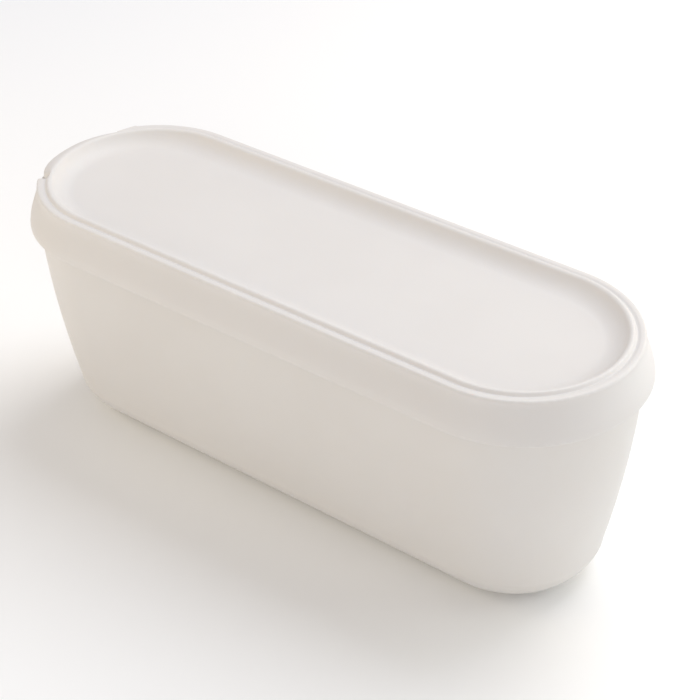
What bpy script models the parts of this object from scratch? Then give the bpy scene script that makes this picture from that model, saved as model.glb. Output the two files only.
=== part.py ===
"""Long ice cream tub with its press-on lid, in metres, +Z up.

The tub stands on z = 0 with its middle over the origin and its length along X.
Its plan is a long slot: straight sides with a half circle at each end.
Both pieces are turned profiles whose two halves are moved apart along X, so
that the ends and the sides share one section. The lift tab of the lid is at -X.
"""

import math

import bmesh
import bpy
from mathutils import Matrix

# Plan
straight_half = 0.1010      # half of the straight run between the two round ends
ring_steps = 72             # facets round a full turn
edge_points = 3             # facets round a small rounding
merge_distance = 0.00001
sharp_angle = math.radians(35.0)
gap = 0.0003                # between the lid and the tub it sits on
side_gap = 0.00036          # the same, measured level across the leaning rim

# Tub
tub_foot_radius = 0.0358    # wall line carried down to the ground
tub_top_radius = 0.0508     # wall at the edge of the lid's skirt
tub_wall_height = 0.1003
tub_wall_bulge = 0.0025     # how far the wall bows out at mid height
tub_foot_fillet = 0.0223
flange_height = 0.1028      # underside of the rim's flange
flange_rounding = 0.0004
rim_rounding = 0.0006
tub_wall_points = 10
tub_fillet_points = 9

# Lid, from the middle outwards
panel_height = 0.1134       # top of the sunk panel
panel_radius = 0.0335       # edge of its flat
crest_radius = 0.0446       # top of the crest
crest_height = 0.1192
crest_inner_rounding = 0.0020
crest_pull = 0.0009         # sideways pull at the top of the crest's outer side
crest_foot_pull = (0.0457, 0.1183)  # radius, height
groove_radius = 0.0463
groove_height = 0.1179
groove_pull = 0.0008        # sideways pull at the start of the rise to the ledge
ledge_height = 0.1183
ledge_inner_radius = 0.0483
ledge_pull = 0.0010         # the same at the end of that rise
ledge_radius = 0.0502       # outer side of the ledge
ledge_round_width = 0.0011
ledge_round_drop = 0.0013
flare_top = (0.0502, 0.1166)        # radius, height
flare_top_pull = (0.0504, 0.1130)
flare_foot_pull = (0.0539, 0.1065)
flare_foot = (0.0544, 0.1024)
skirt_edge_radius = 0.0548
skirt_edge_height = 0.0999
skirt_thickness = 0.0019
skirt_edge_rounding = 0.0005
skirt_edge_chamfer = 0.0002
lid_underside = 0.1110
underside_rounding = 0.0006
cove_points = 9
crest_points = 5
ledge_points = 4
flare_points = 9

# Lift tab at the far end: a square notch ends it at -Y, a slanting cut of the ledge at +Y
notch_angle = math.radians(37.5)
slant_lean = math.radians(20.0)     # of the slanting cut, away from the Y direction
slant_distance = 0.0471     # of the slanting cut from the middle of the round end
slant_meets = math.radians(29.3)    # where the tab's outline runs into it
neck_radius = 0.0452        # wall left standing behind the notches
shoulder_inner_height = 0.1129
shoulder_outer_height = 0.1123
shoulder_rounding = 0.0006
zone_margin = 0.003         # by which the cutter stands out past ledge and skirt
zone_steps = 15
tab_root_radius = 0.0440    # inside the crest
tab_root_height = 0.1187
tab_top = (0.0446, 0.1192)          # radius, height, at the crest
tab_top_pull = (0.0464, 0.1192)
tab_edge_pull = (0.0509, 0.1173)
tab_edge = (0.0518, 0.1150)
tab_edge_rounding = 0.0005
tab_edge_turn = (-25.0, -80.0)      # degrees, from its outer side round to its underside
tab_top_points = 6
tab_edge_points = 3
tab_heel_radius = 0.0500
tab_heel_height = 0.1137
tab_foot_height = 0.1119    # sunk into the skirt's shoulder
tab_full_angle = {"square": math.radians(12.0), "slant": math.radians(4.0)}
tab_end_angle = {"square": math.radians(33.2), "slant": math.radians(33.0)}
tab_end_reach = 0.16        # share of its reach left where it dives into the neck
tab_steps = 30

# Colours, roughness
tub_colour = (0.790, 0.765, 0.735, 1.0)
tub_roughness = 0.46
lid_colour = (0.820, 0.800, 0.780, 1.0)
lid_roughness = 0.50


def clear_scene():
    for existing in list(bpy.data.objects):
        bpy.data.objects.remove(existing, do_unlink=True)


def make_collection(name):
    collection = bpy.data.collections.new(name)
    bpy.context.scene.collection.children.link(collection)
    return collection


def make_material(name, colour, roughness):
    material = bpy.data.materials.new(name)
    material.use_nodes = True
    shader = material.node_tree.nodes["Principled BSDF"]
    shader.inputs["Base Color"].default_value = colour
    shader.inputs["Roughness"].default_value = roughness
    shader.inputs["Metallic"].default_value = 0.0
    return material


def oval_arc(centre, half_width, half_height, start, end, count):
    """Points on an ellipse in the (radius, height) plane, angles in degrees."""
    angles = [math.radians(start + (end - start) * i / count) for i in range(count + 1)]
    return [(centre[0] + half_width * math.cos(a), centre[1] + half_height * math.sin(a)) for a in angles]


def arc(centre, radius, start, end, count):
    return oval_arc(centre, radius, radius, start, end, count)


def pulled_curve(start, start_pull, end_pull, end, count):
    """Points strictly between start and end on the curve shaped by the two pulls."""
    points = []
    for i in range(1, count):
        t = i / count
        weights = ((1 - t) ** 3, 3 * t * (1 - t) ** 2, 3 * t * t * (1 - t), t ** 3)
        corners = (start, start_pull, end_pull, end)
        radius = sum(weight * corner[0] for weight, corner in zip(weights, corners))
        height = sum(weight * corner[1] for weight, corner in zip(weights, corners))
        points.append((radius, height))
    return points


def skirt_flare(inset):
    """The flare from its top to its foot, moved inwards by inset."""
    curve = pulled_curve(flare_top, flare_top_pull, flare_foot_pull, flare_foot, flare_points)
    return [(radius - inset, height) for radius, height in [flare_top] + curve + [flare_foot]]


def tub_wall_radius(height):
    share = height / tub_wall_height
    straight = tub_foot_radius + (tub_top_radius - tub_foot_radius) * share
    return straight + 4.0 * tub_wall_bulge * share * (1.0 - share)


def tub_profile():
    """From the middle of the top outwards, down the wall, to the flat foot."""
    top = lid_underside - gap
    rim = [
        point for point in skirt_flare(skirt_thickness + side_gap)
        if flange_height + flange_rounding < point[1] < top - rim_rounding
    ]
    points = [(rim[0][0] - rim_rounding, top)]
    points += rim
    points.append((rim[-1][0], flange_height + flange_rounding))
    points.append((rim[-1][0] - flange_rounding, flange_height))

    # The fillet of the foot touches the bowed wall where their slopes agree.
    foot_slope = (tub_top_radius - tub_foot_radius + 4.0 * tub_wall_bulge) / tub_wall_height
    lean = math.atan(foot_slope)
    fillet_centre = (
        tub_foot_radius + tub_foot_fillet * math.tan(lean) - tub_foot_fillet / math.cos(lean),
        tub_foot_fillet,
    )
    fillet_top = tub_foot_fillet * (1.0 - math.sin(lean))
    for i in range(tub_wall_points):
        height = flange_height + (fillet_top - flange_height) * i / tub_wall_points
        points.append((tub_wall_radius(height), height))
    points += arc(fillet_centre, tub_foot_fillet, -math.degrees(lean), -90.0, tub_fillet_points)
    return points


def lid_profile():
    """From the edge of the sunk panel over crest, ledge and skirt, to the underside."""
    # The cove and the crest's inner rounding are two arcs that meet at the steepest place.
    cove_run = crest_radius - panel_radius
    cove_rise = crest_height - panel_height
    steepest = 2.0 * math.atan(cove_rise / cove_run)
    cove_radius = cove_run / math.sin(steepest) - crest_inner_rounding
    lean = math.degrees(steepest)
    points = arc((panel_radius, panel_height + cove_radius), cove_radius, -90.0, lean - 90.0, cove_points)
    crest_centre = (crest_radius, crest_height - crest_inner_rounding)
    points += arc(crest_centre, crest_inner_rounding, 90.0 + lean, 90.0, edge_points)[1:]

    # Outer side of the crest, shallow groove, then the ledge
    crest_top = (crest_radius, crest_height)
    crest_top_pull = (crest_radius + crest_pull, crest_height)
    groove = (groove_radius, groove_height)
    points += pulled_curve(crest_top, crest_top_pull, crest_foot_pull, groove, crest_points)
    points.append(groove)
    ledge_start = (ledge_inner_radius, ledge_height)
    groove_out_pull = (groove_radius + groove_pull, groove_height)
    ledge_in_pull = (ledge_inner_radius - ledge_pull, ledge_height)
    points += pulled_curve(groove, groove_out_pull, ledge_in_pull, ledge_start, ledge_points)
    ledge_centre = (ledge_radius - ledge_round_width, ledge_height - ledge_round_drop)
    points += oval_arc(ledge_centre, ledge_round_width, ledge_round_drop, 90.0, 0.0, ledge_points)

    # Flare of the skirt down to its edge, and back up its inner side
    points += skirt_flare(0.0)
    edge_centre = (skirt_edge_radius - skirt_edge_rounding, skirt_edge_height + skirt_edge_rounding)
    points += arc(edge_centre, skirt_edge_rounding, 0.0, -90.0, edge_points)
    inner_edge = skirt_edge_radius - skirt_thickness
    points.append((inner_edge + skirt_edge_chamfer, skirt_edge_height))
    points.append((inner_edge, skirt_edge_height + skirt_edge_chamfer))
    inner_side = [
        point for point in reversed(skirt_flare(skirt_thickness))
        if point[1] < lid_underside - underside_rounding
    ]
    points += inner_side
    points.append((inner_side[-1][0] - underside_rounding, lid_underside))
    points.append((panel_radius, lid_underside))
    return points


def turned_mesh(name, points, closed, angle, steps):
    """Mesh of a profile turned round Z by the Screw modifier, starting on +X."""
    outline = bpy.data.meshes.new(name + "_profile")
    edges = [(i, i + 1) for i in range(len(points) - 1)]
    if closed:
        edges.append((len(points) - 1, 0))
    outline.from_pydata([(radius, 0.0, height) for radius, height in points], edges, [])
    holder = bpy.data.objects.new(name + "_profile", outline)
    bpy.context.scene.collection.objects.link(holder)
    screw = holder.modifiers.new("turn", "SCREW")
    screw.axis = "Z"
    screw.angle = angle
    screw.steps = steps
    screw.render_steps = steps
    screw.use_merge_vertices = True
    screw.merge_threshold = merge_distance
    depsgraph = bpy.context.evaluated_depsgraph_get()
    mesh = bpy.data.meshes.new_from_object(holder.evaluated_get(depsgraph))
    mesh.name = name
    bpy.data.objects.remove(holder, do_unlink=True)
    return mesh


def close_openings(mesh):
    """Caps every open loop and points all faces outwards."""
    work = bmesh.new()
    work.from_mesh(mesh)
    open_edges = [edge for edge in work.edges if edge.is_boundary]
    bmesh.ops.holes_fill(work, edges=open_edges, sides=0)
    bmesh.ops.recalc_face_normals(work, faces=work.faces)
    work.to_mesh(mesh)
    work.free()


def long_turned_mesh(name, points):
    """Full turn whose halves are moved apart along X, leaving straight sides."""
    mesh = turned_mesh(name, points, False, math.tau, ring_steps)
    mesh.transform(Matrix.Rotation(math.pi / ring_steps, 4, "Z"))
    for vertex in mesh.vertices:
        vertex.co.x += math.copysign(straight_half, vertex.co.x)
    close_openings(mesh)
    return mesh


def end_segment_mesh(name, points, steps, place):
    """Closed section turned over a part of the far round end.

    The place function gives radius and angle from -X towards +Y for a point at
    the given radius and share of the way round.
    """
    mesh = turned_mesh(name, points, True, 1.0, steps)
    for vertex in mesh.vertices:
        radius = math.hypot(vertex.co.x, vertex.co.y)
        share = math.atan2(vertex.co.y, vertex.co.x)
        radius, angle = place(radius, share)
        vertex.co.x = -straight_half - radius * math.cos(angle)
        vertex.co.y = radius * math.sin(angle)
    close_openings(mesh)
    return mesh


def add_object(name, mesh, collection, material=None):
    part = bpy.data.objects.new(name, mesh)
    collection.objects.link(part)
    if material:
        mesh.materials.append(material)
        mesh.shade_smooth()
        mesh.set_sharp_from_angle(angle=sharp_angle)
    return part


def as_guide(part):
    part.hide_render = True
    part.display_type = "WIRE"


def add_boolean(target, other, operation):
    modifier = target.modifiers.new(operation.lower(), "BOOLEAN")
    modifier.operation = operation
    modifier.solver = "EXACT"
    modifier.object = other


def zone_place(radius, share):
    """From the square notch round to the slanting cut, which starts at the tab's outline."""
    start_radius = slant_distance / math.cos(slant_meets - slant_lean)
    slant_angle = slant_lean + math.acos(slant_distance / max(radius, start_radius))
    return radius, -notch_angle + (slant_angle + notch_angle) * share


def tab_place(radius, share):
    """The tab's reach fades like an ellipse towards both of its ends."""
    angle = -tab_end_angle["square"] + (tab_end_angle["slant"] + tab_end_angle["square"]) * share
    side = "slant" if angle > 0.0 else "square"
    past = (abs(angle) - tab_full_angle[side]) / (tab_end_angle[side] - tab_full_angle[side])
    rounding = math.sqrt(max(0.0, 1.0 - max(0.0, past) ** 2))
    reach = max(tab_end_reach, rounding)
    return tab_root_radius + (radius - tab_root_radius) * reach, angle


def make_tab_zone(collection):
    """Takes ledge and groove away round the tab, down to the skirt's shoulder."""
    outside = skirt_edge_radius + zone_margin
    above = crest_height + zone_margin
    points = [
        (neck_radius, above),
        (outside, above),
        (outside, shoulder_outer_height),
        (neck_radius + shoulder_rounding, shoulder_inner_height),
        (neck_radius, shoulder_inner_height + shoulder_rounding),
    ]
    zone = add_object("tab_zone", end_segment_mesh("tab_zone", points, zone_steps, zone_place), collection)
    as_guide(zone)
    return zone


def make_tab(collection):
    """Thumb tab: curves out and down from the crest, rounded at its edge and its corners."""
    points = [(tab_root_radius, tab_foot_height), (tab_root_radius, tab_root_height)]
    points += pulled_curve(tab_top, tab_top_pull, tab_edge_pull, tab_edge, tab_top_points)
    edge_centre = (tab_edge[0] - tab_edge_rounding, tab_edge[1])
    points += arc(edge_centre, tab_edge_rounding, *tab_edge_turn, tab_edge_points)
    points += [(tab_heel_radius, tab_heel_height), (tab_heel_radius, tab_foot_height)]
    tab = add_object("tab_block", end_segment_mesh("tab_block", points, tab_steps, tab_place), collection)
    as_guide(tab)
    return tab


def build():
    clear_scene()
    parts = make_collection("ice_cream_tub")
    guides = make_collection("cutters")
    tub_material = make_material("tub_plastic", tub_colour, tub_roughness)
    lid_material = make_material("lid_plastic", lid_colour, lid_roughness)

    add_object("tub", long_turned_mesh("tub", tub_profile()), parts, tub_material)
    lid = add_object("lid", long_turned_mesh("lid", lid_profile()), parts, lid_material)
    add_boolean(lid, make_tab_zone(guides), "DIFFERENCE")
    add_boolean(lid, make_tab(guides), "UNION")


build()
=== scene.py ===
import math

import bmesh
import bpy
import numpy as np
from mathutils import Matrix, Vector


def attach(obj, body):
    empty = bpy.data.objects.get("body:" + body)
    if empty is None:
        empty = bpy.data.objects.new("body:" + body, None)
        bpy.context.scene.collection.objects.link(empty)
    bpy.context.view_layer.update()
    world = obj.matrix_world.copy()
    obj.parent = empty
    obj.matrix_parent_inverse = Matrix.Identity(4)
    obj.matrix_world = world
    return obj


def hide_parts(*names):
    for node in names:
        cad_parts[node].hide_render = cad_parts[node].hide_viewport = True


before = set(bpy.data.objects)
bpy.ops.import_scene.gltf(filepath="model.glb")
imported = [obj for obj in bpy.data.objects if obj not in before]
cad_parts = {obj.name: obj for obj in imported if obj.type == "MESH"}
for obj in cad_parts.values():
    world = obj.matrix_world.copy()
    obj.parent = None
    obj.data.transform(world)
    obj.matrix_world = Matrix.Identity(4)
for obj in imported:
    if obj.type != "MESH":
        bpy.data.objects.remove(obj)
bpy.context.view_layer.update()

scene = bpy.context.scene
print("frame loaded:", ", ".join(sorted(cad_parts)))


# Camera: it looks down the tub from beyond its plain end

cameraSetup = {
    "turn": 38.4,            # degrees round from the front
    "rise": 35.16,           # degrees above the floor
    "roll": -1.05,
    "distance": 0.8328,
    "aimHeight": 0.04869,
    "shiftRight": 0.01091,   # metres, in the picture's own plane
    "shiftUp": 0.01307,
    "lens": 95.72,
    "sensor": 36.0,
}

turn, rise, roll = (math.radians(cameraSetup[key]) for key in ("turn", "rise", "roll"))
away = Vector((math.sin(turn) * math.cos(rise), -math.cos(turn) * math.cos(rise), math.sin(rise)))
level = Vector((math.cos(turn), math.sin(turn), 0.0))
upright = away.cross(level)
rightWay = level * math.cos(roll) + upright * math.sin(roll)
upWay = upright * math.cos(roll) - level * math.sin(roll)
eye = away * cameraSetup["distance"] + rightWay * cameraSetup["shiftRight"] + upWay * cameraSetup["shiftUp"]
eye.z += cameraSetup["aimHeight"]
camera = bpy.data.objects.new("camera", bpy.data.cameras.new("camera"))
scene.collection.objects.link(camera)
camera.matrix_world = Matrix.Translation(eye) @ Matrix((rightWay, upWay, away)).transposed().to_4x4()
camera.data.lens = cameraSetup["lens"]
camera.data.sensor_width = cameraSetup["sensor"]
scene.camera = camera
print("camera ready")


# Small helpers for sections, which are lists of (radius, height)

def ovalPoints(centre, halfWidth, halfHeight, start, end, count):
    angles = [math.radians(start + (end - start) * i / (count - 1)) for i in range(count)]
    return [(centre[0] + halfWidth * math.cos(a), centre[1] + halfHeight * math.sin(a)) for a in angles]


def arcPoints(centre, radius, start, end, count):
    return ovalPoints(centre, radius, radius, start, end, count)


def bezierPoint(corners, t):
    weights = ((1 - t) ** 3, 3 * t * (1 - t) ** 2, 3 * t * t * (1 - t), t ** 3)
    return tuple(sum(w * corner[axis] for w, corner in zip(weights, corners)) for axis in (0, 1))


def bezierLine(corners, steps, start=0.0, end=1.0):
    return [bezierPoint(corners, start + (end - start) * i / steps) for i in range(steps + 1)]


def spread(points, count):
    # the same line with count points at even distances
    line = np.array(points, float)
    steps = np.hypot(*np.diff(line, axis=0).T)
    run = np.concatenate([[0.0], np.cumsum(steps)])
    marks = np.linspace(0.0, run[-1], count)
    return list(zip(np.interp(marks, run, line[:, 0]), np.interp(marks, run, line[:, 1])))


# Geometry Nodes: a section swept round a long slot

besideReach = 1.5       # half steps past a straight side, between its first and second point
seamWeld = 0.00001      # metres, so that both sides join along the middle line


def linkUp(tree, source, output, target, entry):
    tree.links.new(source.outputs[output], target.inputs[entry])


def mathNode(tree, operation, first, second=None):
    node = tree.nodes.new("ShaderNodeMath")
    node.operation = operation
    for place, value in enumerate((first, second)):
        if value is None:
            continue
        if isinstance(value, (int, float)):
            node.inputs[place].default_value = value
        else:
            tree.links.new(value, node.inputs[place])
    return node.outputs[0]


def buildSweepTree():
    tree = bpy.data.node_groups.new("sweepRoundSlot", "GeometryNodeTree")
    face = tree.interface
    face.new_socket("Section", in_out="INPUT", socket_type="NodeSocketGeometry")
    for name, kind in (
        ("Straight Half", "NodeSocketFloat"),
        ("Path Radius", "NodeSocketFloat"),
        ("End Steps", "NodeSocketInt"),
        ("Side Cuts", "NodeSocketInt"),
        ("Weld Distance", "NodeSocketFloat"),
        ("Finish", "NodeSocketMaterial"),
    ):
        face.new_socket(name, in_out="INPUT", socket_type=kind)
    face.new_socket("Geometry", in_out="OUTPUT", socket_type="NodeSocketGeometry")
    entry = tree.nodes.new("NodeGroupInput")
    leave = tree.nodes.new("NodeGroupOutput")

    # a circle turned by half a step, so that no point lies between the two halves
    circle = tree.nodes.new("GeometryNodeCurvePrimitiveCircle")
    linkUp(tree, entry, "End Steps", circle, "Resolution")
    linkUp(tree, entry, "Path Radius", circle, "Radius")
    halfStep = mathNode(tree, "DIVIDE", math.pi, entry.outputs["End Steps"])
    halfTurn = tree.nodes.new("ShaderNodeCombineXYZ")
    tree.links.new(halfStep, halfTurn.inputs["Z"])
    turned = tree.nodes.new("GeometryNodeTransform")
    linkUp(tree, circle, "Curve", turned, "Geometry")
    linkUp(tree, halfTurn, "Vector", turned, "Rotation")

    # its halves move apart, which leaves the two straight sides
    position = tree.nodes.new("GeometryNodeInputPosition")
    split = tree.nodes.new("ShaderNodeSeparateXYZ")
    linkUp(tree, position, "Position", split, "Vector")
    side = mathNode(tree, "SIGN", split.outputs["X"])
    apart = tree.nodes.new("ShaderNodeCombineXYZ")
    tree.links.new(mathNode(tree, "MULTIPLY", side, entry.outputs["Straight Half"]), apart.inputs["X"])
    slot = tree.nodes.new("GeometryNodeSetPosition")
    linkUp(tree, turned, "Geometry", slot, "Geometry")
    linkUp(tree, apart, "Vector", slot, "Offset")

    # each straight side starts where x and y have the same sign
    beside = mathNode(tree, "MULTIPLY", halfStep, besideReach)
    edgeWidth = mathNode(tree, "MULTIPLY", entry.outputs["Path Radius"], beside)
    reach = mathNode(tree, "ADD", entry.outputs["Straight Half"], edgeWidth)
    nearMiddle = mathNode(tree, "LESS_THAN", mathNode(tree, "ABSOLUTE", split.outputs["X"]), reach)
    sameSign = mathNode(
        tree, "GREATER_THAN", mathNode(tree, "MULTIPLY", split.outputs["X"], split.outputs["Y"]), 0.0)
    starts = mathNode(tree, "MULTIPLY", nearMiddle, sameSign)
    cuts = tree.nodes.new("GeometryNodeSubdivideCurve")
    linkUp(tree, slot, "Geometry", cuts, "Curve")
    tree.links.new(mathNode(tree, "MULTIPLY", starts, entry.outputs["Side Cuts"]), cuts.inputs["Cuts"])
    upward = tree.nodes.new("GeometryNodeSetCurveNormal")
    upward.mode = "Z_UP"
    linkUp(tree, cuts, "Curve", upward, "Curve")

    # every point keeps its number in the section, for the shaping that follows
    number = tree.nodes.new("GeometryNodeInputIndex")
    numbered = tree.nodes.new("GeometryNodeStoreNamedAttribute")
    numbered.data_type = "INT"
    numbered.domain = "POINT"
    numbered.inputs["Name"].default_value = "sectionPoint"
    linkUp(tree, entry, "Section", numbered, "Geometry")
    linkUp(tree, number, "Index", numbered, "Value")

    sweep = tree.nodes.new("GeometryNodeCurveToMesh")
    linkUp(tree, upward, "Curve", sweep, "Curve")
    linkUp(tree, numbered, "Geometry", sweep, "Profile Curve")
    weld = tree.nodes.new("GeometryNodeMergeByDistance")
    linkUp(tree, sweep, "Mesh", weld, "Geometry")
    linkUp(tree, entry, "Weld Distance", weld, "Distance")
    smooth = tree.nodes.new("GeometryNodeSetShadeSmooth")
    linkUp(tree, weld, "Geometry", smooth, "Geometry")
    realize = tree.nodes.new("GeometryNodeRealizeInstances")
    linkUp(tree, smooth, "Geometry", realize, "Geometry")
    finish = tree.nodes.new("GeometryNodeSetMaterial")
    linkUp(tree, realize, "Geometry", finish, "Geometry")
    linkUp(tree, entry, "Finish", finish, "Material")
    linkUp(tree, finish, "Geometry", leave, "Geometry")
    return tree


def sweepSection(name, section, tree, values):
    # the section as a flat curve: outwards is its X, down is its Y, as Curve to Mesh reads them
    outline = bpy.data.curves.new(name + "Section", "CURVE")
    outline.dimensions = "3D"
    spline = outline.splines.new("POLY")
    spline.points.add(len(section) - 1)
    for point, (radius, height) in zip(spline.points, section):
        point.co = (radius - values["Path Radius"], -height, 0.0, 1.0)
    holder = bpy.data.objects.new(name + "Section", outline)
    scene.collection.objects.link(holder)
    modifier = holder.modifiers.new("sweep", "NODES")
    modifier.node_group = tree
    for item in tree.interface.items_tree:
        if item.in_out == "INPUT" and item.name in values:
            modifier[item.identifier] = values[item.name]
    bpy.context.view_layer.update()
    depsgraph = bpy.context.evaluated_depsgraph_get()
    mesh = bpy.data.meshes.new_from_object(holder.evaluated_get(depsgraph), depsgraph=depsgraph)
    mesh.name = name
    bpy.data.objects.remove(holder, do_unlink=True)
    return mesh


def closeAndFaceOut(mesh):
    work = bmesh.new()
    work.from_mesh(mesh)
    bmesh.ops.remove_doubles(work, verts=work.verts, dist=seamWeld)
    bmesh.ops.recalc_face_normals(work, faces=work.faces)
    work.to_mesh(mesh)
    work.free()


sweepTree = buildSweepTree()
print("sweep tree ready")


# Plastic: colour in the mass, fine mould grain, soft waviness, handling wear on the ridges

plasticNoise = {
    "cloud": (3.0, 0.5),          # detail and roughness of each noise
    "wear": (4.0, 0.6),
    "sheen": (3.0, 0.55),
    "wave": (1.0, 0.4),
    "grain": (2.0, 0.5),
    "cloudRange": (0.35, 0.65),   # the part of each noise that shows
    "wearRange": (0.42, 0.62),
    "sheenRange": (0.3, 0.7),
    "ridgeCore": 0.4,             # share of a ridge's width that is rubbed in full
}


def colourMix(tree, factor, first, second):
    node = tree.nodes.new("ShaderNodeMix")
    node.data_type = "RGBA"
    tree.links.new(factor, node.inputs["Factor"])
    for key, value in (("A", first), ("B", second)):
        if isinstance(value, tuple):
            node.inputs[key].default_value = (*value, 1.0)
        else:
            tree.links.new(value, node.inputs[key])
    return node.outputs["Result"]


def buildPlastic(name, look):
    material = bpy.data.materials.new(name)
    material.use_nodes = True
    tree = material.node_tree
    shader = tree.nodes["Principled BSDF"]
    shader.inputs["IOR"].default_value = look["ior"]
    shader.inputs["Subsurface Weight"].default_value = look["depthGlow"]
    shader.inputs["Subsurface Radius"].default_value = look["glowRadius"]
    shader.inputs["Subsurface Scale"].default_value = look["glowScale"]
    place = tree.nodes.new("ShaderNodeTexCoord")
    centre = tree.nodes.new("ShaderNodeMapping")
    centre.inputs["Location"].default_value = look["patternPlace"]
    linkUp(tree, place, "Object", centre, "Vector")

    def noise(kind):
        node = tree.nodes.new("ShaderNodeTexNoise")
        detail, roughness = plasticNoise[kind]
        node.inputs["Scale"].default_value = look[kind + "Scale"]
        node.inputs["Detail"].default_value = detail
        node.inputs["Roughness"].default_value = roughness
        linkUp(tree, centre, "Vector", node, "Vector")
        return node.outputs["Fac"]

    def ranged(value, low, high, outLow, outHigh):
        node = tree.nodes.new("ShaderNodeMapRange")
        node.interpolation_type = "SMOOTHSTEP"
        tree.links.new(value, node.inputs["Value"])
        for key, number in zip(("From Min", "From Max", "To Min", "To Max"), (low, high, outLow, outHigh)):
            node.inputs[key].default_value = number
        return node.outputs["Result"]

    def bump(kind):
        node = tree.nodes.new("ShaderNodeBump")
        node.inputs["Strength"].default_value = look[kind + "Strength"]
        node.inputs["Distance"].default_value = look[kind + "Height"]
        tree.links.new(noise(kind), node.inputs["Height"])
        return node

    # distance from the middle line of the slot, which tells ridge, groove and wall apart
    split = tree.nodes.new("ShaderNodeSeparateXYZ")
    linkUp(tree, place, "Object", split, "Vector")
    past = mathNode(tree, "SUBTRACT", mathNode(tree, "ABSOLUTE", split.outputs["X"]), look["straightHalf"])
    past = mathNode(tree, "MAXIMUM", past, 0.0)
    square = mathNode(
        tree, "ADD", mathNode(tree, "MULTIPLY", past, past),
        mathNode(tree, "MULTIPLY", split.outputs["Y"], split.outputs["Y"]))
    slotRadius = mathNode(tree, "SQRT", square)

    # cloudy colour of the plastic
    cloud = ranged(noise("cloud"), *plasticNoise["cloudRange"], 0.0, 1.0)
    mass = colourMix(tree, cloud, look["colour"], look["colourCloud"])

    # ridges rubbed a little paler, broken up by a finer noise
    rubbed = None
    for radius, width, low, high in look["ridges"]:
        offset = mathNode(tree, "ABSOLUTE", mathNode(tree, "SUBTRACT", slotRadius, radius))
        onRidge = ranged(offset, width * plasticNoise["ridgeCore"], width, 1.0, 0.0)
        above = mathNode(tree, "GREATER_THAN", split.outputs["Z"], low)
        below = mathNode(tree, "LESS_THAN", split.outputs["Z"], high)
        onRidge = mathNode(tree, "MULTIPLY", onRidge, mathNode(tree, "MULTIPLY", above, below))
        rubbed = onRidge if rubbed is None else mathNode(tree, "MAXIMUM", rubbed, onRidge)
    broken = ranged(noise("wear"), *plasticNoise["wearRange"], 0.0, look["wear"])
    wear = mathNode(tree, "MULTIPLY", rubbed, broken)
    tree.links.new(colourMix(tree, wear, mass, look["colourWorn"]), shader.inputs["Base Color"])

    # sheen changes slowly over the wall and drops where it is rubbed
    sheen = ranged(noise("sheen"), *plasticNoise["sheenRange"], *look["roughness"])
    sheen = mathNode(tree, "SUBTRACT", sheen, mathNode(tree, "MULTIPLY", wear, look["polish"]))
    tree.links.new(sheen, shader.inputs["Roughness"])

    # mould grain over the slow waviness of a cooled wall
    wave = bump("wave")
    grain = bump("grain")
    linkUp(tree, wave, "Normal", grain, "Normal")
    linkUp(tree, grain, "Normal", shader, "Normal")
    return material


tubLook = {
    "colour": (0.730, 0.713, 0.690),
    "colourCloud": (0.742, 0.727, 0.706),
    "colourWorn": (0.785, 0.772, 0.755),
    "ior": 1.47,
    "depthGlow": 0.12,
    "glowRadius": (1.0, 0.85, 0.7),
    "glowScale": 0.0025,
    "patternPlace": (0.31, 0.17, 0.05),
    "straightHalf": 0.1010,
    "cloudScale": 18.0,
    "ridges": [(0.0340, 0.0050, -0.001, 0.012)],     # the rounded foot
    "wearScale": 260.0,
    "wear": 0.35,
    "polish": 0.08,
    "sheenScale": 60.0,
    "roughness": (0.42, 0.50),
    "waveScale": 70.0,
    "waveStrength": 0.25,
    "waveHeight": 0.00025,
    "grainScale": 2400.0,
    "grainStrength": 0.10,
    "grainHeight": 0.00005,
}
tubPlastic = buildPlastic("tubPlastic", tubLook)

lidLook = {
    "colour": (0.745, 0.731, 0.717),
    "colourCloud": (0.755, 0.742, 0.729),
    "colourWorn": (0.795, 0.785, 0.772),
    "ior": 1.46,
    "depthGlow": 0.10,
    "glowRadius": (1.0, 0.85, 0.7),
    "glowScale": 0.002,
    "patternPlace": (0.07, 0.42, 0.11),
    "straightHalf": 0.1010,
    "cloudScale": 22.0,
    "ridges": [
        (0.0447, 0.0012, 0.1185, 0.1200),            # crest
        (0.0496, 0.0012, 0.1172, 0.1190),            # ledge
        (0.0546, 0.0012, 0.0990, 0.1012),            # edge of the skirt
    ],
    "wearScale": 420.0,
    "wear": 0.40,
    "polish": 0.10,
    "sheenScale": 75.0,
    "roughness": (0.47, 0.56),
    "waveScale": 85.0,
    "waveStrength": 0.20,
    "waveHeight": 0.00020,
    "grainScale": 2900.0,
    "grainStrength": 0.16,
    "grainHeight": 0.00005,
}
lidPlastic = buildPlastic("lidPlastic", lidLook)
print("plastics ready")


# Tub

tubShape = {
    "footRadius": 0.0358,        # wall line carried down to the ground
    "topRadius": 0.0508,
    "wallHeight": 0.1003,
    "wallBulge": 0.0025,
    "footFillet": 0.0223,
    "flangeHeight": 0.1028,
    "flangeRadius": 0.0516,
    "flangeTop": 0.1046,
    "flangeEdge": 0.0005,
    "rimRadius": 0.0494,
    "rimHeight": 0.1106,
    "rimEdge": (0.0003, 0.0006),  # outwards and down
    "flatMiddle": 0.025,         # a ring on the flat top
    "rimPoints": 6,
    "wallPoints": 34,
    "filletPoints": 26,
    "sweep": {
        "Straight Half": 0.1010,
        "Path Radius": 0.0400,
        "End Steps": 288,
        "Side Cuts": 15,
        "Weld Distance": 0.000002,
    },
}


def tubWall(height):
    share = height / tubShape["wallHeight"]
    straight = tubShape["footRadius"] + (tubShape["topRadius"] - tubShape["footRadius"]) * share
    return straight + 4.0 * tubShape["wallBulge"] * share * (1.0 - share)


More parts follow.
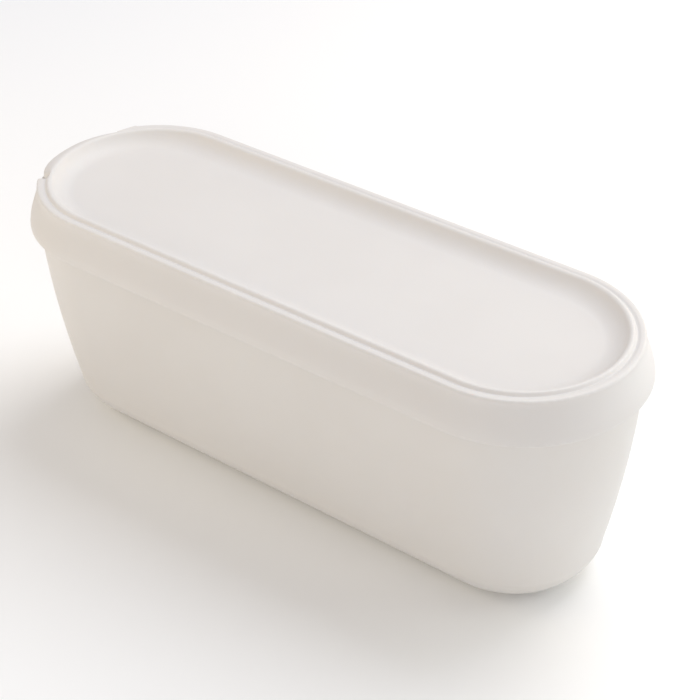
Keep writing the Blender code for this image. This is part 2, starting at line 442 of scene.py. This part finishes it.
def tubSection():
    rise = tubShape["topRadius"] - tubShape["footRadius"] + 4.0 * tubShape["wallBulge"]
    lean = math.atan(rise / tubShape["wallHeight"])
    fillet = tubShape["footFillet"]
    centre = (tubShape["footRadius"] + fillet * math.tan(lean) - fillet / math.cos(lean), fillet)
    filletTop = fillet * (1.0 - math.sin(lean))
    rim, top = tubShape["rimRadius"], tubShape["rimHeight"]
    flange, under, edge = tubShape["flangeRadius"], tubShape["flangeHeight"], tubShape["flangeEdge"]
    outwards, down = tubShape["rimEdge"]
    points = [(0.0, top), (tubShape["flatMiddle"], top), (rim, top)]
    points += spread([(rim + outwards, top - down), (flange, tubShape["flangeTop"])], tubShape["rimPoints"])
    points += [(flange, under + edge), (flange - edge, under)]
    heights = np.linspace(under, filletTop, tubShape["wallPoints"])
    points += [(tubWall(height), height) for height in heights]
    points += arcPoints(centre, fillet, -math.degrees(lean), -90.0, tubShape["filletPoints"])[1:]
    points += [(centre[0] * 0.5, 0.0), (0.0, 0.0)]
    return points


tubMesh = sweepSection("tubBody", tubSection(), sweepTree, {**tubShape["sweep"], "Finish": tubPlastic})
closeAndFaceOut(tubMesh)
tubMesh.attributes.remove(tubMesh.attributes["sectionPoint"])
tubBody = bpy.data.objects.new("tubBody", tubMesh)
scene.collection.objects.link(tubBody)
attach(tubBody, "root")
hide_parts("tub")
print("tub:", len(tubMesh.polygons), "faces")


# Lid, with its lift tab at -X

lidShape = {
    "panelHeight": 0.1134,
    "panelRadius": 0.0335,
    "crestRadius": 0.0446,       # top of the crest
    "crestHeight": 0.1192,
    "crestInnerRounding": 0.0020,
    "flank": ((0.0446, 0.1192), (0.0455, 0.1192), (0.0457, 0.1183), (0.0463, 0.1179)),
    "grooveOuter": 0.0464,
    "grooveHeight": 0.1179,
    "groovePull": 0.0008,        # how softly the groove turns up to the ledge
    "ledgePull": 0.0010,
    "ledgeInner": 0.0483,
    "ledgeHeight": 0.1183,
    "ledgeRadius": 0.0502,
    "ledgeRounding": (0.0011, 0.0013),
    "ledgeTurn": 84.0,           # degrees over which the ledge rounds down
    "flare": ((0.0502, 0.1166), (0.0504, 0.1130), (0.0539, 0.1065), (0.0544, 0.1024)),
    "skirtRadius": 0.05474,
    "skirtHeight": 0.0999,
    "skirtRounding": 0.0005,
    "innerRounding": 0.0003,     # inner edge at the foot of the skirt
    "wall": 0.0019,
    "insideEnds": 0.25,          # share of the flare, from its top, where the inner side leaves it
    "underside": 0.1110,
    "undersideRounding": 0.0006,
    "panelRings": (0.0, 0.33, 0.66, 0.9),
    "shoulderInner": (0.0457, 0.1129),
    "shoulderOuterHeight": 0.1123,
    "sweep": {
        "Straight Half": 0.1010,
        "Path Radius": 0.0400,
        "End Steps": 360,
        "Side Cuts": 17,
        "Weld Distance": 0.0,
    },
}
tabShape = {
    "top": ((0.0446, 0.1192), (0.0464, 0.1192), (0.0509, 0.1173), (0.0518, 0.1150)),
    "edgeRounding": 0.0005,
    "edgeTurn": (-25.0, -80.0),
    "heelRadius": 0.0500,
    "heelHeight": 0.1137,
    "toe": 0.0004,               # small rounding where the heel meets the shoulder
    "cutRounding": 0.0003,
    "cutTurn": 82.0,
    "fullAngle": {"square": 12.0, "slant": 4.0},
    "endAngle": {"square": 33.2, "slant": 33.0},
    "leastReach": 0.13,
    "notchAngle": 37.5,
    "notchSoftness": 0.42,       # degrees over which the square cut turns down
    "slantLean": 20.0,
    "slantDistance": 0.0471,     # of the slanting cut from the middle of the round end
    "slantMeets": 29.3,          # where the tab's outline runs into the slanting cut
    "slantSoftness": 0.35,
    "slantRunOut": 42.0,
    "zone": 50.0,                # degrees to each side that are shaped
    "zoneMarks": 401,
    "fineMarks": 4001,
    "crowding": (                # angle, width, strength: rings gather where the form turns fast
        (-37.5, 0.7, 14.0), (-33.6, 1.0, 7.0), (-30.5, 3.0, 2.0),
        (29.4, 1.0, 8.0), (27.0, 3.0, 2.0), (40.6, 1.6, 2.0),
    ),
}


def smoothStep(value):
    value = min(1.0, max(0.0, value))
    return value * value * (3.0 - 2.0 * value)


def flareAt(height, halvings=40):
    low, high = 0.0, 1.0
    for _ in range(halvings):
        middle = 0.5 * (low + high)
        if bezierPoint(lidShape["flare"], middle)[1] > height:
            low = middle
        else:
            high = middle
    return low


shoulderShare = flareAt(lidShape["shoulderOuterHeight"])
shoulderOuter = bezierPoint(lidShape["flare"], shoulderShare)
crestTop = (lidShape["crestRadius"], lidShape["crestHeight"])
pointCounts = {
    "cove": 26,
    "crest": 10,
    "top": 30,
    "edge": 9,
    "wall": 16,
    "shoulder": 9,
    "flare": 26,
    "skirtEdge": 7,
}


def shoulderHeight(radius):
    inner = lidShape["shoulderInner"]
    share = max(0.0, (radius - inner[0]) / (shoulderOuter[0] - inner[0]))
    return inner[1] + (shoulderOuter[1] - inner[1]) * share


def shoulderPoints(start):
    return spread([start, shoulderOuter], pointCounts["shoulder"] + 1)[1:]


def plainTop():
    # outer side of the crest, groove and ledge, up to the start of the ledge's rounding
    groove, ledge = lidShape["grooveHeight"], lidShape["ledgeHeight"]
    rise = [(lidShape["grooveOuter"], groove), (lidShape["grooveOuter"] + lidShape["groovePull"], groove)]
    rise += [(lidShape["ledgeInner"] - lidShape["ledgePull"], ledge), (lidShape["ledgeInner"], ledge)]
    line = bezierLine(lidShape["flank"], 20) + bezierLine(rise, 8)
    return line + [(lidShape["ledgeRadius"] - lidShape["ledgeRounding"][0], ledge)]


def plainOuter():
    width, drop = lidShape["ledgeRounding"]
    centre = (lidShape["ledgeRadius"] - width, lidShape["ledgeHeight"] - drop)
    top = spread(plainTop(), pointCounts["top"])
    edge = ovalPoints(centre, width, drop, lidShape["ledgeTurn"], 0.0, pointCounts["edge"])
    flare = bezierLine(lidShape["flare"], 30, 0.0, shoulderShare)
    side = spread([edge[-1]] + flare, pointCounts["wall"] + pointCounts["shoulder"] + 1)[1:]
    return top + edge + side


def cutOuter(cutRadius):
    # the ledge stops at cutRadius, and a wall goes down from there to the shoulder
    rounding = tabShape["cutRounding"]
    inner = cutRadius - rounding
    radii, heights = zip(*plainTop())
    line = [point for point in plainTop() if point[0] < inner]
    endHeight = float(np.interp(inner, radii, heights))
    top = spread(line + [(inner, endHeight)], pointCounts["top"])
    centre = (inner, endHeight - rounding)
    edge = arcPoints(centre, rounding, tabShape["cutTurn"], 0.0, pointCounts["edge"])
    foot = (cutRadius, shoulderHeight(cutRadius))
    wall = spread([edge[-1], foot], pointCounts["wall"] + 1)[1:]
    return top + edge + wall + shoulderPoints(foot)


def tabOuter(reach):
    rounding, toe = tabShape["edgeRounding"], tabShape["toe"]
    end = tabShape["top"][3]
    top = spread(bezierLine(tabShape["top"], 40), pointCounts["top"])
    edge = arcPoints((end[0] - rounding, end[1]), rounding, *tabShape["edgeTurn"], pointCounts["edge"])
    drawn = []
    for radius, height in top + edge + [(tabShape["heelRadius"], tabShape["heelHeight"])]:
        drawn.append((crestTop[0] + (radius - crestTop[0]) * reach, height))
    heel = drawn.pop()
    foot = (heel[0], shoulderHeight(heel[0]) + toe)
    tip = (heel[0] + toe, shoulderHeight(heel[0] + toe))
    wall = spread([drawn[-1], heel, foot, tip], pointCounts["wall"] + 1)[1:]
    return drawn + wall + shoulderPoints(tip)


def slantRadius(angle):
    # the slanting cut is a straight line in plan
    return tabShape["slantDistance"] / math.cos(math.radians(angle - tabShape["slantLean"]))


def tabReach(angle):
    side = "slant" if angle > 0.0 else "square"
    full, end = tabShape["fullAngle"][side], tabShape["endAngle"][side]
    past = min(1.0, max(0.0, (abs(angle) - full) / (end - full)))
    return max(tabShape["leastReach"], math.sqrt(1.0 - past * past))


def mixed(first, second, share):
    return [(a[0] + (b[0] - a[0]) * share, a[1] + (b[1] - a[1]) * share) for a, b in zip(first, second)]


plainPart = plainOuter()


def outerAt(angle):
    # the changing part of the section at an angle from -X, towards +Y
    if angle < 0.0:
        cut = smoothStep(0.5 + (angle + tabShape["notchAngle"]) / (2.0 * tabShape["notchSoftness"]))
        return mixed(plainPart, tabOuter(tabReach(angle)), cut)
    slant = slantRadius(angle)
    if slant > lidShape["ledgeRadius"]:
        meeting = math.acos(tabShape["slantDistance"] / lidShape["ledgeRadius"])
        ends = tabShape["slantLean"] + math.degrees(meeting)
        out = (angle - ends) / (tabShape["slantRunOut"] - ends)
        return mixed(cutOuter(lidShape["ledgeRadius"]), plainPart, smoothStep(out))
    cut = smoothStep(0.5 + (angle - tabShape["slantMeets"]) / (2.0 * tabShape["slantSoftness"]))
    if cut == 0.0:
        return tabOuter(tabReach(angle))
    return mixed(tabOuter(tabReach(angle)), cutOuter(slant), cut)


def lidSection():
    # from the middle of the panel outwards, over the top, down the skirt and back beneath
    run = crestTop[0] - lidShape["panelRadius"]
    rise = crestTop[1] - lidShape["panelHeight"]
    steepest = 2.0 * math.atan(rise / run)
    rounding = lidShape["crestInnerRounding"]
    cove = run / math.sin(steepest) - rounding
    lean = math.degrees(steepest)
    coveCentre = (lidShape["panelRadius"], lidShape["panelHeight"] + cove)
    crestCentre = (crestTop[0], crestTop[1] - rounding)
    points = [(share * lidShape["panelRadius"], lidShape["panelHeight"]) for share in lidShape["panelRings"]]
    points += arcPoints(coveCentre, cove, -90.0, lean - 90.0, pointCounts["cove"])
    points += arcPoints(crestCentre, rounding, 90.0 + lean, 90.0, pointCounts["crest"])[1:-1]
    first = len(points)
    points += plainPart
    last = len(points)
    flare = bezierLine(lidShape["flare"], 40, shoulderShare)
    skirt, bottom = lidShape["skirtRounding"], lidShape["skirtHeight"]
    centre = (lidShape["skirtRadius"] - skirt, bottom + skirt)
    points += spread(flare + [(lidShape["skirtRadius"], centre[1])], pointCounts["flare"])[1:-1]
    points += arcPoints(centre, skirt, 0.0, -90.0, pointCounts["skirtEdge"])
    inner, small = lidShape["skirtRadius"] - lidShape["wall"], lidShape["innerRounding"]
    points += [(inner + small, bottom), (inner, bottom + small)]
    under, corner = lidShape["underside"], lidShape["undersideRounding"]
    inside = bezierLine(lidShape["flare"], 9, 1.0, lidShape["insideEnds"])
    points += [(radius - lidShape["wall"], height) for radius, height in inside if height < under - corner]
    points += [(points[-1][0] - corner, under), (lidShape["panelRadius"], under), (0.0, under)]
    return points, first, last


def crowdedAngles(count):
    fine = np.linspace(-tabShape["zone"], tabShape["zone"], tabShape["fineMarks"])
    density = np.ones_like(fine)
    for angle, width, strength in tabShape["crowding"]:
        density += strength * np.exp(-((fine - angle) / width) ** 2)
    run = np.concatenate([[0.0], np.cumsum(0.5 * (density[1:] + density[:-1]))])
    return np.interp(np.linspace(0.0, run[-1], count), run, fine)


def shapeTab(mesh, first, last):
    # rings of the far end slide together near the cuts, then each takes its own section
    half = lidShape["sweep"]["Straight Half"]
    even = np.linspace(-tabShape["zone"], tabShape["zone"], tabShape["zoneMarks"])
    crowded = crowdedAngles(tabShape["zoneMarks"])
    numbers = np.zeros(len(mesh.vertices), np.int32)
    mesh.attributes["sectionPoint"].data.foreach_get("value", numbers)
    places = np.zeros(len(mesh.vertices) * 3)
    mesh.vertices.foreach_get("co", places)
    places = places.reshape(-1, 3)
    along = places[:, 0] + half
    radius = np.hypot(along, places[:, 1])
    angle = np.degrees(np.arctan2(places[:, 1], -along))
    chosen = (along < 0.0) & (np.abs(angle) < tabShape["zone"]) & (radius > 0.0)
    sections = {}
    for i in np.nonzero(chosen)[0]:
        turned = float(np.interp(angle[i], even, crowded))
        reach, height = radius[i], places[i, 2]
        if first <= numbers[i] < last:
            key = round(turned, 5)
            if key not in sections:
                sections[key] = outerAt(turned)
            reach, height = sections[key][numbers[i] - first]
        swing = math.radians(turned)
        places[i] = (-half - reach * math.cos(swing), reach * math.sin(swing), height)
    mesh.vertices.foreach_set("co", places.ravel())
    mesh.update()


section, firstOuter, lastOuter = lidSection()
lidMesh = sweepSection("lidShell", section, sweepTree, {**lidShape["sweep"], "Finish": lidPlastic})
shapeTab(lidMesh, firstOuter, lastOuter)
closeAndFaceOut(lidMesh)
lidMesh.attributes.remove(lidMesh.attributes["sectionPoint"])
lidShell = bpy.data.objects.new("lidShell", lidMesh)
scene.collection.objects.link(lidShell)
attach(lidShell, "root")
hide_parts("lid")
print("lid:", len(lidMesh.polygons), "faces")


# Floor

floorLook = {
    "size": 6.0,
    "colour": (0.93, 0.945, 0.955),
    "colourCloud": (0.94, 0.955, 0.965),
    "cloudScale": 3.0,
    "roughness": 0.75,
}

floorMaterial = bpy.data.materials.new("paleFloor")
floorMaterial.use_nodes = True
floorTree = floorMaterial.node_tree
floorShader = floorTree.nodes["Principled BSDF"]
floorShader.inputs["Roughness"].default_value = floorLook["roughness"]
floorPlace = floorTree.nodes.new("ShaderNodeTexCoord")
floorNoise = floorTree.nodes.new("ShaderNodeTexNoise")
floorNoise.inputs["Scale"].default_value = floorLook["cloudScale"]
linkUp(floorTree, floorPlace, "Object", floorNoise, "Vector")
floorColour = colourMix(floorTree, floorNoise.outputs["Fac"], floorLook["colour"], floorLook["colourCloud"])
floorTree.links.new(floorColour, floorShader.inputs["Base Color"])
floorMesh = bpy.data.meshes.new("floor")
far = floorLook["size"] / 2.0
floorCorners = [(-far, -far, 0.0), (far, -far, 0.0), (far, far, 0.0), (-far, far, 0.0)]
floorMesh.from_pydata(floorCorners, [], [(0, 1, 2, 3)])
floorMesh.materials.append(floorMaterial)
floor = bpy.data.objects.new("floor", floorMesh)
scene.collection.objects.link(floor)
print("floor ready")


# Light: a soft room, two wide lamps and three small soft ones close to the tub

lightRig = {
    "aim": (0.0, 0.0, 0.06),
    "room": {"colour": (0.91, 0.91, 1.0), "strength": 0.41},
    "front": {"place": (1.29, -1.63, 1.03), "size": 1.5, "power": 13.2, "colour": (1.0, 0.90, 0.735)},
    "high": {"place": (0.13, 1.14, 2.05), "size": 1.5, "power": 27.7, "colour": (0.94, 0.96, 1.0)},
    "right": {"place": (0.568, 0.450, 0.398), "size": 0.5, "power": 1.59, "colour": (0.99, 1.0, 0.915)},
    "back": {"place": (0.083, 0.720, 0.398), "size": 0.5, "power": 1.15, "colour": (1.0, 0.76, 0.44)},
    "left": {"place": (-0.568, -0.450, 0.398), "size": 0.5, "power": 1.64, "colour": (1.0, 0.82, 0.54)},
}


def hangLamp(name):
    setup = lightRig[name]
    lamp = bpy.data.lights.new(name, "AREA")
    lamp.shape = "SQUARE"
    lamp.size = setup["size"]
    lamp.energy = setup["power"]
    lamp.color = setup["colour"]
    holder = bpy.data.objects.new(name, lamp)
    holder.location = setup["place"]
    aim = Vector(lightRig["aim"]) - holder.location
    holder.rotation_euler = aim.to_track_quat("-Z", "Y").to_euler()
    scene.collection.objects.link(holder)


world = bpy.data.worlds.new("softRoom")
world.use_nodes = True
roomGlow = world.node_tree.nodes["Background"]
roomGlow.inputs["Color"].default_value = (*lightRig["room"]["colour"], 1.0)
roomGlow.inputs["Strength"].default_value = lightRig["room"]["strength"]
scene.world = world
for name in ("front", "high", "right", "back", "left"):
    hangLamp(name)

scene.view_settings.view_transform = "Standard"
scene.view_settings.look = "None"
print("light ready")
